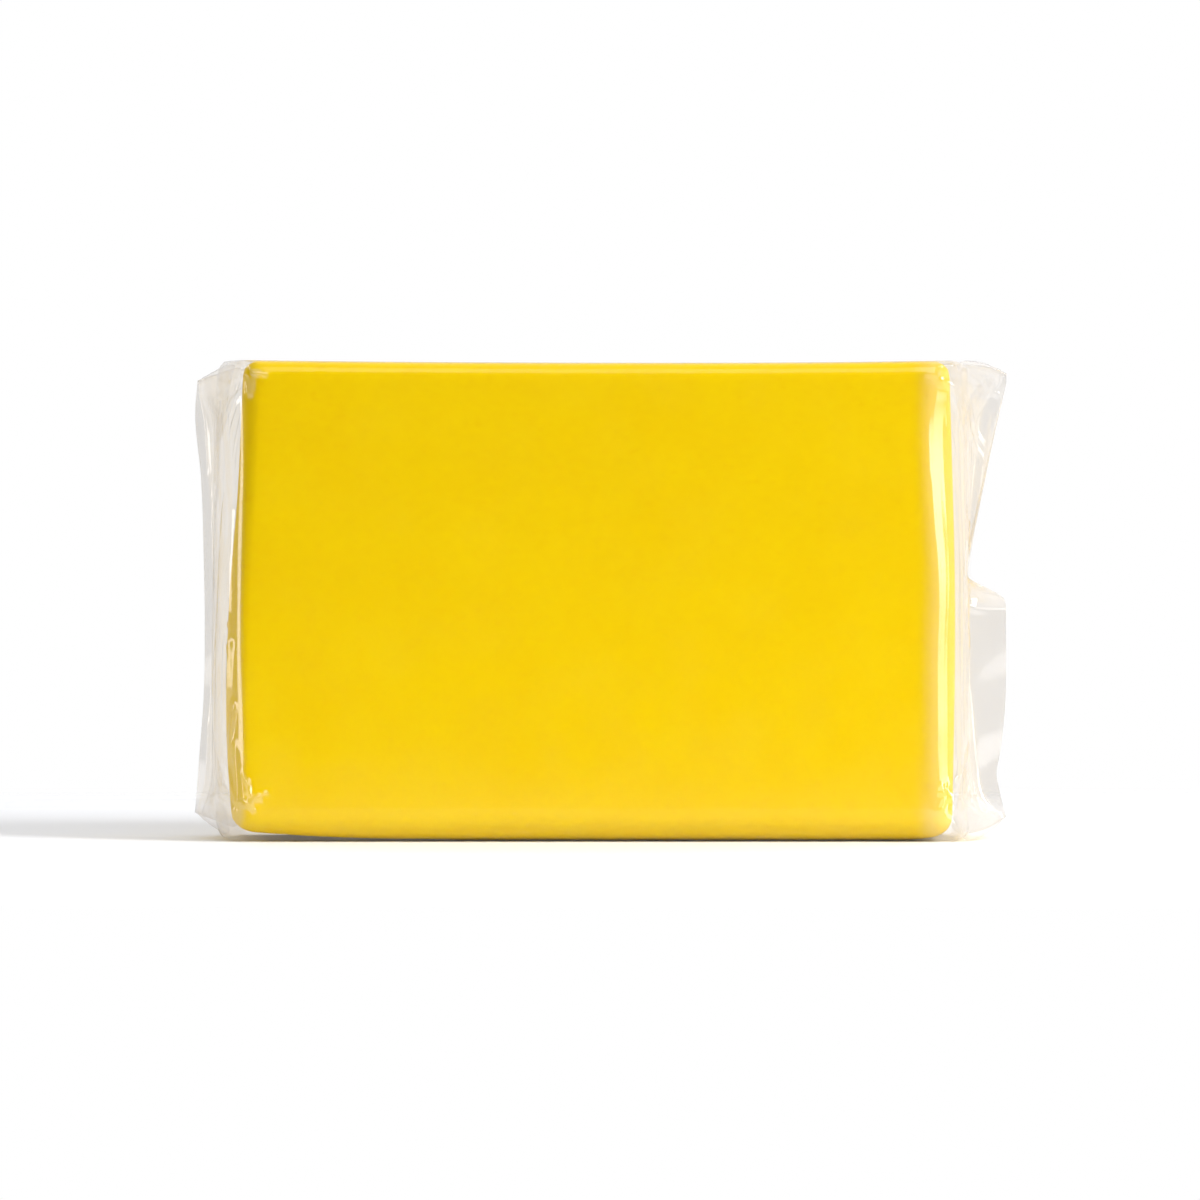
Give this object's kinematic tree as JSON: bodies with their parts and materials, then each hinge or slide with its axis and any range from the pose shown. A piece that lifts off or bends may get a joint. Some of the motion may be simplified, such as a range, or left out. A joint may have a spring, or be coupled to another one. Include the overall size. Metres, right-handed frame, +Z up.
{
  "type": "clay bar",
  "caption": "Rectangular bar of soft detailing clay sealed in a wrapper of thin clear film with a flat fin at each end.",
  "frame": {"origin": "middle of the base of the wrapped bar, standing on its long narrow side", "axes": "+X along the bar towards the fin with the bent-back flap, +Y from the plain front face to the back with the seam, +Z up"},
  "size_m": [0.0804, 0.0206, 0.0472],
  "materials": {
    "clay": "dense yellow clay, smooth where the film presses on it",
    "film": "thin clear glossy film",
    "film_weld": "two or more layers of clear film welded together, slightly milky"
  },
  "bodies": {
    "wrapped_bar": {"clay_block": "clay", "film_sleeve": "film", "back_seam": "film_weld", "left_end_wrap": "film", "right_end_wrap": "film"},
    "left_fin": {"left_end_seal": "film_weld"},
    "right_fin": {"right_end_seal": "film_weld", "right_seal_flap": "film_weld"}
  },
  "joints": [
    {"name": "left_fin_fold", "type": "hinge", "parent": "wrapped_bar", "child": "left_fin", "pos_m": [-0.0381, -0.0001, 0.0236], "axis": [0, 0, 1], "range_deg": [-70, 70]},
    {"name": "right_fin_fold", "type": "hinge", "parent": "wrapped_bar", "child": "right_fin", "pos_m": [0.0368, -0.0001, 0.0236], "axis": [0, 0, 1], "range_deg": [-70, 5]}
  ]
}
